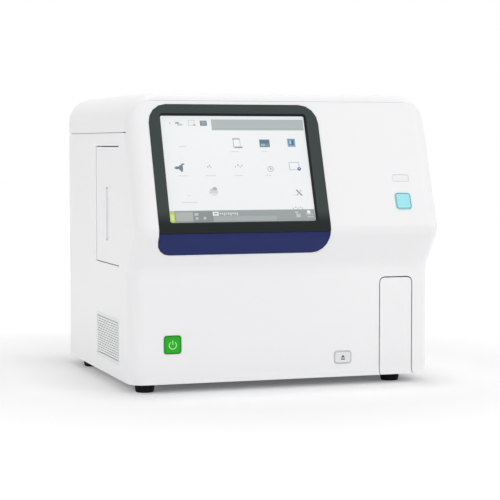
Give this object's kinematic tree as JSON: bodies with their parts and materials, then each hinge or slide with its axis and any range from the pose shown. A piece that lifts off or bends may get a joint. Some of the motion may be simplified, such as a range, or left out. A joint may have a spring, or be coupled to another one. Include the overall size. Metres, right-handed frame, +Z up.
{
  "type": "hematology analyzer",
  "caption": "Bench-top blood cell analyzer with a leaning touch screen, a motor driven sample drawer, a piercing needle and a hinged reagent door.",
  "frame": {"origin": "on the floor under the feet, at the centre of the bounding box", "axes": "+X to the right seen from the front, +Y from the front to the rear, +Z up"},
  "size_m": [0.45, 0.4468, 0.4145],
  "materials": {
    "white_cover": "satin moulded cover",
    "vent_grey": "fine matt",
    "bezel_dark": "satin dark grey",
    "trim_blue": "satin deep blue",
    "screen": "lit touch screen",
    "panel_metal": "plain aluminium housing",
    "zinc_sheet": "zinc plated sheet",
    "key_cyan": "soft sheen",
    "key_green": "soft sheen",
    "key_grey": "soft sheen",
    "grey_moulding": "moulded",
    "status_clear": "frosted window",
    "foot_rubber": "matt",
    "bright_steel": "ground",
    "brass": "machined",
    "holder_dark": "moulded",
    "clear_plastic": "clear",
    "cap_lilac": "moulded",
    "black_plastic": "moulded",
    "bottle_brown": "dark tinted",
    "board_green": "circuit board"
  },
  "bodies": {
    "housing": {"front_cover": "white_cover", "top_cover": "white_cover", "left_side_panel": "white_cover", "right_side_panel": "white_cover", "left_vent_grille": "vent_grey", "vent_filter": "vent_grey", "display_bezel": "bezel_dark", "lower_trim": "trim_blue", "touch_screen": "screen", "lcd_panel": "panel_metal", "display_bracket": "zinc_sheet", "start_switch": "grey_moulding", "status_window": "status_clear", "power_switch": "grey_moulding", "eject_switch": "grey_moulding", "base_pan": "zinc_sheet", "left_side_frame": "zinc_sheet", "right_side_frame": "zinc_sheet", "mid_plate": "zinc_sheet", "foot_front_left": "foot_rubber", "foot_front_right": "foot_rubber", "foot_rear_left": "foot_rubber", "foot_rear_right": "foot_rubber", "drawer_rail": "bright_steel", "drawer_motor_bracket": "zinc_sheet", "drawer_motor": "panel_metal", "piercer_frame": "zinc_sheet", "piercer_motor": "black_plastic", "door_hinge_pin": "bright_steel", "reagent_bay": "grey_moulding", "dye_bottle_front": "bottle_brown", "dye_bottle_rear": "bottle_brown", "optical_detector": "panel_metal", "reaction_block": "panel_metal", "syringe_unit": "clear_plastic", "valve_manifold": "grey_moulding", "air_pump": "black_plastic", "power_supply": "panel_metal", "main_board": "board_green", "rear_panel": "white_cover", "fan_frame": "black_plastic", "power_inlet": "black_plastic", "fluid_ports": "grey_moulding", "interface_board": "board_green"},
    "drawer": {"drawer_front": "white_cover", "drawer_carriage": "grey_moulding", "tube_holder": "holder_dark", "sample_tube": "clear_plastic", "tube_cap": "cap_lilac"},
    "pinion": {"drive_pinion": "brass"},
    "needle": {"needle_carriage": "grey_moulding", "piercing_needle": "bright_steel"},
    "screw": {"lead_screw": "bright_steel"},
    "start_key": {"start_button": "key_cyan"},
    "power_key": {"power_button": "key_green"},
    "eject_key": {"eject_button": "key_grey"},
    "door": {"reagent_door": "white_cover"},
    "plunger": {"syringe_plunger": "bright_steel"},
    "fan": {"fan_rotor": "black_plastic"},
    "rocker": {"main_rocker": "black_plastic"}
  },
  "joints": [
    {"name": "drawer_slide", "type": "slide", "parent": "housing", "child": "drawer", "axis": [0, -1, 0], "range_m": [0, 0.09425]},
    {"name": "pinion_spin", "type": "hinge", "parent": "housing", "child": "pinion", "pos_m": [0.13947, -0.1646, 0.033], "axis": [0, 0, -1], "range_deg": [0, 520]},
    {"name": "needle_slide", "type": "slide", "parent": "housing", "child": "needle", "axis": [0, 0, -1], "range_m": [0, 0.06]},
    {"name": "screw_spin", "type": "hinge", "parent": "housing", "child": "screw", "pos_m": [0.18285, -0.1202, 0.2], "axis": [0, 0, 1], "range_deg": [0, 2165]},
    {"name": "start_press", "type": "slide", "parent": "housing", "child": "start_key", "axis": [0, 0.9404, -0.34], "range_m": [0, 0.002], "stiffness_N_per_m": 600, "springref_m": -0.001},
    {"name": "power_press", "type": "slide", "parent": "housing", "child": "power_key", "axis": [0, 1, 0], "range_m": [0, 0.0025], "stiffness_N_per_m": 600, "springref_m": -0.001},
    {"name": "eject_press", "type": "slide", "parent": "housing", "child": "eject_key", "axis": [0, 1, 0], "range_m": [0, 0.0015], "stiffness_N_per_m": 600, "springref_m": -0.001},
    {"name": "door_swing", "type": "hinge", "parent": "housing", "child": "door", "pos_m": [-0.219, 0.0104, 0.25685], "axis": [0, 0, -1], "range_deg": [0, 90]},
    {"name": "plunger_slide", "type": "slide", "parent": "housing", "child": "plunger", "axis": [0, 0, -1], "range_m": [0, 0.04]},
    {"name": "fan_spin", "type": "hinge", "parent": "housing", "child": "fan", "pos_m": [0.12, 0.19, 0.312], "axis": [0, 1, 0], "continuous": true},
    {"name": "rocker_tilt", "type": "hinge", "parent": "housing", "child": "rocker", "pos_m": [0.15, 0.2011, 0.107], "axis": [1, 0, 0], "range_deg": [0, 16]}
  ],
  "couplings": [
    {"joint": "pinion_spin", "follows": "drawer_slide", "rad_per_m": 95.238},
    {"joint": "screw_spin", "follows": "needle_slide", "rad_per_m": 628.32}
  ]
}
